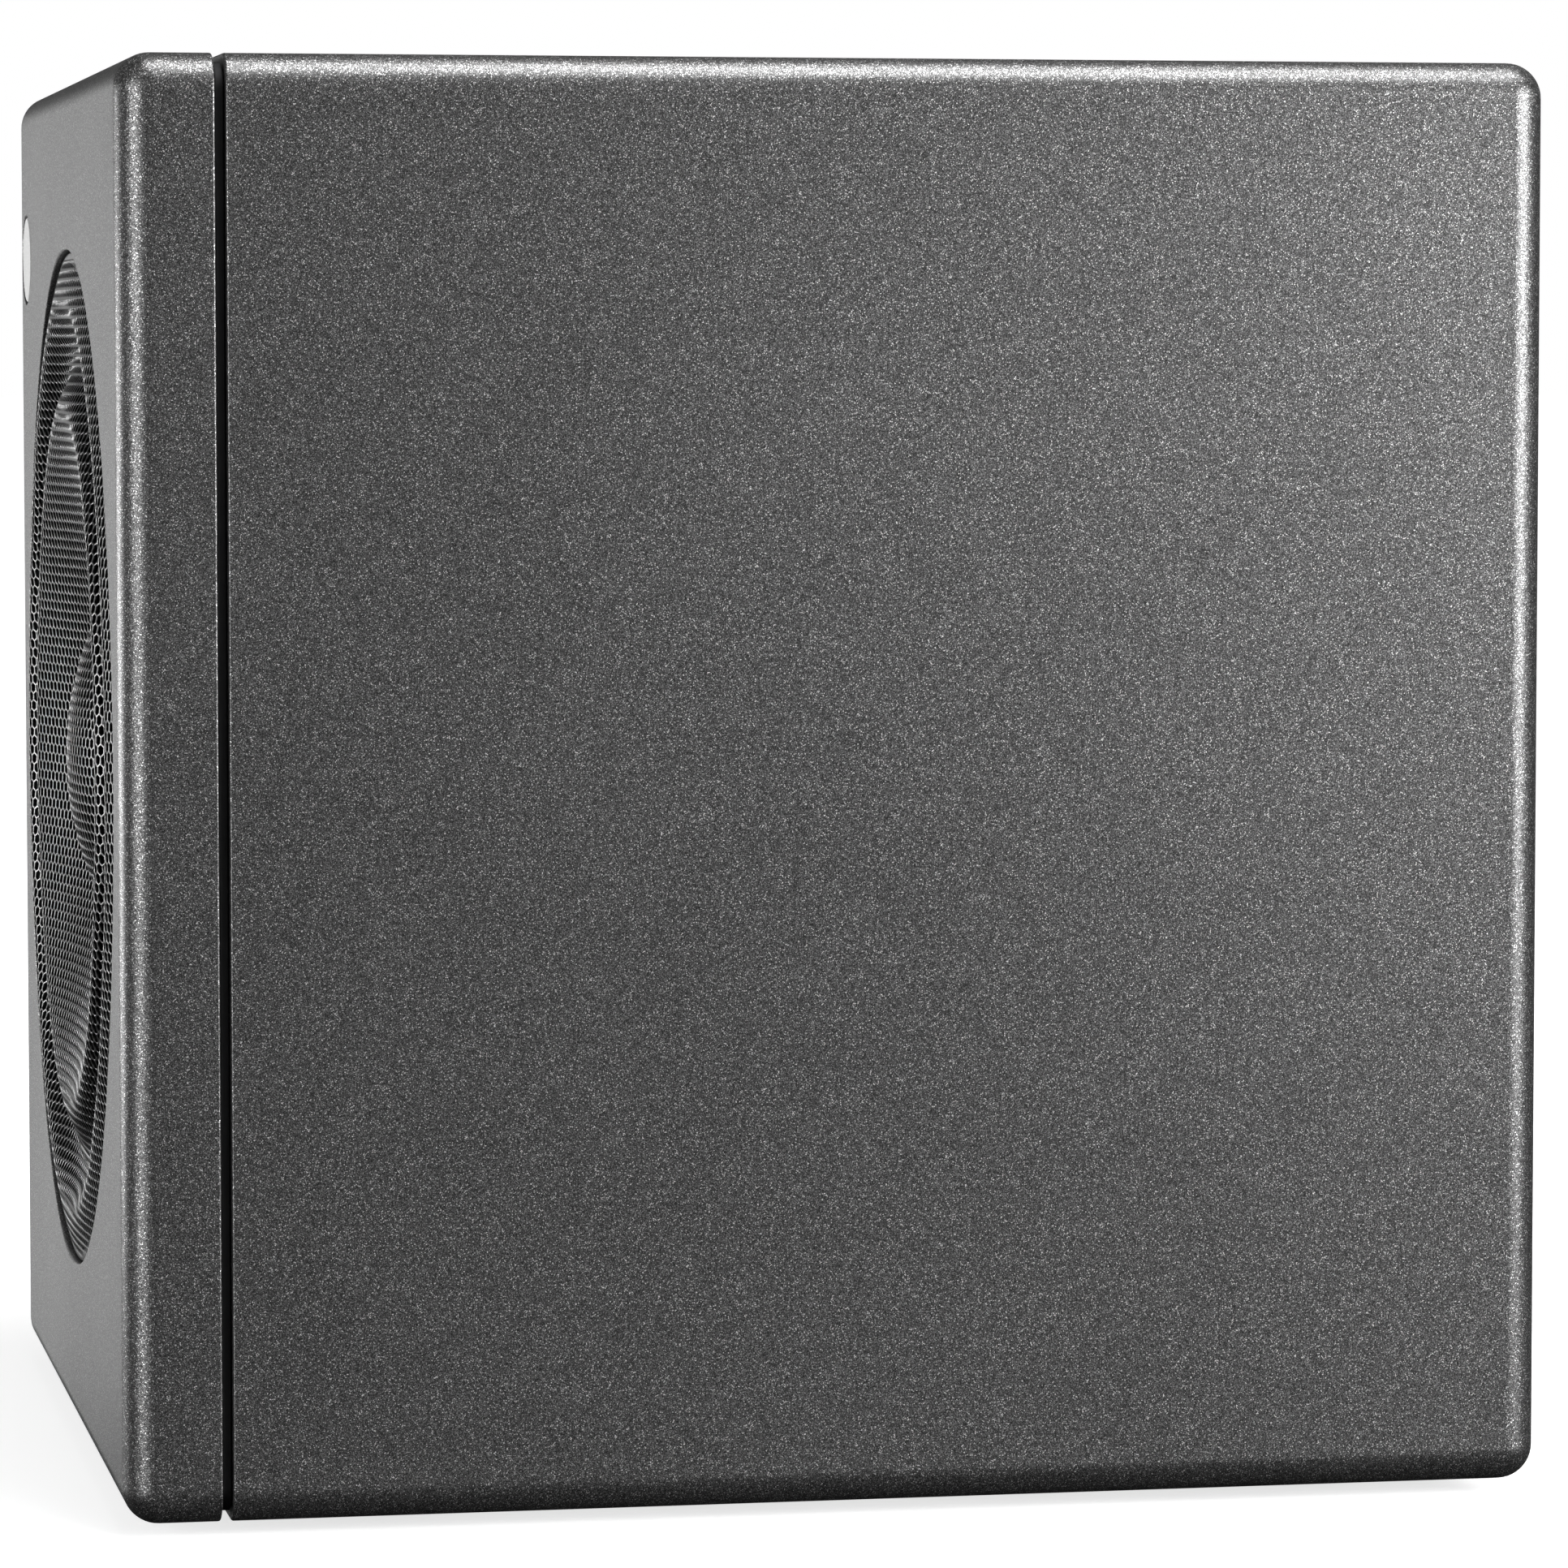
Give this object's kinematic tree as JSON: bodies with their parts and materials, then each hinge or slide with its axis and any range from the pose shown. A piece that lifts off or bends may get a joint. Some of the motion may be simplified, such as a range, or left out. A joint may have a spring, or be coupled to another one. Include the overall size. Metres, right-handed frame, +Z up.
{
  "type": "studio subwoofer",
  "caption": "Closed-box powered studio subwoofer: rounded anthracite cabinet, separate front panel, round perforated grille over a woofer, and a rear amplifier with sockets and controls.",
  "frame": {"origin": "on the floor under the middle of the whole object's box", "axes": "+Z up, -Y out of the front, +X to the right as seen from the front"},
  "size_m": [0.33, 0.384, 0.387],
  "materials": {
    "anthracite_metallic": "anthracite metallic lacquer with fine flakes over fibreboard",
    "fibreboard": "raw fibreboard",
    "foam_grey": "open-cell damping foam",
    "black_rubber": "matt black rubber",
    "white_lens": "opal white light window",
    "board_green": "green circuit board",
    "black_metal": "satin black coated steel",
    "cast_aluminium": "cast aluminium",
    "zinc_steel": "zinc-plated steel",
    "ferrite": "dark grey ferrite",
    "paper_black": "coated black paper pulp",
    "copper": "copper winding",
    "damper_cloth": "treated woven cloth",
    "nickel": "nickel-plated metal",
    "black_plastic": "fine-textured black plastic",
    "grey_plastic": "light grey plastic"
  },
  "bodies": {
    "enclosure": {"front_panel": "anthracite_metallic", "cabinet_shell": "anthracite_metallic", "cabinet_brace": "fibreboard", "rear_frame": "fibreboard", "damping_foam": "foam_grey", "baffle_gasket": "black_rubber", "foot_front_left": "black_rubber", "foot_front_right": "black_rubber", "foot_rear_left": "black_rubber", "foot_rear_right": "black_rubber", "grille_seat_ring": "black_rubber", "surround": "black_rubber", "speaker_cable": "black_rubber", "status_light_lens": "white_lens", "status_light_board": "board_green", "main_board": "board_green", "control_board": "board_green", "grille": "black_metal", "amp_plate": "black_metal", "rear_heat_sink": "black_metal", "driver_screw_1": "black_metal", "driver_screw_2": "black_metal", "driver_screw_3": "black_metal", "driver_screw_4": "black_metal", "amp_plate_screw_left_bottom": "black_metal", "amp_plate_screw_left_middle": "black_metal", "amp_plate_screw_left_top": "black_metal", "amp_plate_screw_right_bottom": "black_metal", "amp_plate_screw_right_middle": "black_metal", "amp_plate_screw_right_top": "black_metal", "driver_frame": "cast_aluminium", "amplifier_heat_sink": "cast_aluminium", "top_plate": "zinc_steel", "yoke": "zinc_steel", "amp_housing": "zinc_steel", "magnet": "ferrite", "tinsel_lead_left": "copper", "tinsel_lead_right": "copper", "mains_transformer": "copper", "spider": "damper_cloth", "xlr_input_left": "nickel", "xlr_input_right": "nickel", "xlr_output_left": "nickel", "xlr_output_right": "nickel", "network_socket": "nickel", "terminal_block": "black_plastic", "mains_inlet": "black_plastic", "power_switch_frame": "black_plastic"},
    "cone_assembly": {"cone": "paper_black", "dust_cap": "paper_black", "voice_coil_former": "cast_aluminium", "voice_coil": "copper"},
    "power_rocker": {"power_rocker": "black_plastic"},
    "gain_knob": {"gain_knob": "black_plastic"},
    "phase_knob": {"phase_knob": "black_plastic"},
    "ground_switch": {"ground_switch": "grey_plastic"},
    "bypass_switch": {"bypass_switch": "grey_plastic"},
    "xlr_latch_left": {"xlr_latch_left": "nickel"},
    "xlr_latch_right": {"xlr_latch_right": "nickel"},
    "fuse_drawer": {"fuse_drawer": "black_plastic"}
  },
  "joints": [
    {"name": "cone_travel", "type": "slide", "parent": "enclosure", "child": "cone_assembly", "axis": [0, -1, 0], "range_m": [-0.01, 0.01], "stiffness_N_per_m": 3200, "deforming": ["surround", "spider", "tinsel_lead_left", "tinsel_lead_right"]},
    {"name": "power_rocker_tilt", "type": "hinge", "parent": "enclosure", "child": "power_rocker", "pos_m": [0.034, 0.1733, 0.0835], "axis": [1, 0, 0], "range_deg": [-20, 0]},
    {"name": "gain_knob_turn", "type": "hinge", "parent": "enclosure", "child": "gain_knob", "pos_m": [0.088, 0.1773, 0.2415], "axis": [0, 1, 0], "range_deg": [-150, 150]},
    {"name": "phase_knob_turn", "type": "hinge", "parent": "enclosure", "child": "phase_knob", "pos_m": [0.052, 0.1773, 0.2415], "axis": [0, 1, 0], "range_deg": [-150, 150]},
    {"name": "ground_switch_slide", "type": "slide", "parent": "enclosure", "child": "ground_switch", "axis": [0, 0, 1], "range_m": [0, 0.0044]},
    {"name": "bypass_switch_slide", "type": "slide", "parent": "enclosure", "child": "bypass_switch", "axis": [0, 0, 1], "range_m": [0, 0.0044]},
    {"name": "xlr_latch_left_press", "type": "slide", "parent": "enclosure", "child": "xlr_latch_left", "axis": [0, -1, 0], "range_m": [0, 0.0025], "stiffness_N_per_m": 600},
    {"name": "xlr_latch_right_press", "type": "slide", "parent": "enclosure", "child": "xlr_latch_right", "axis": [0, -1, 0], "range_m": [0, 0.0025], "stiffness_N_per_m": 600},
    {"name": "fuse_drawer_pull", "type": "slide", "parent": "enclosure", "child": "fuse_drawer", "axis": [0, 1, 0], "range_m": [0, 0.016]}
  ]
}
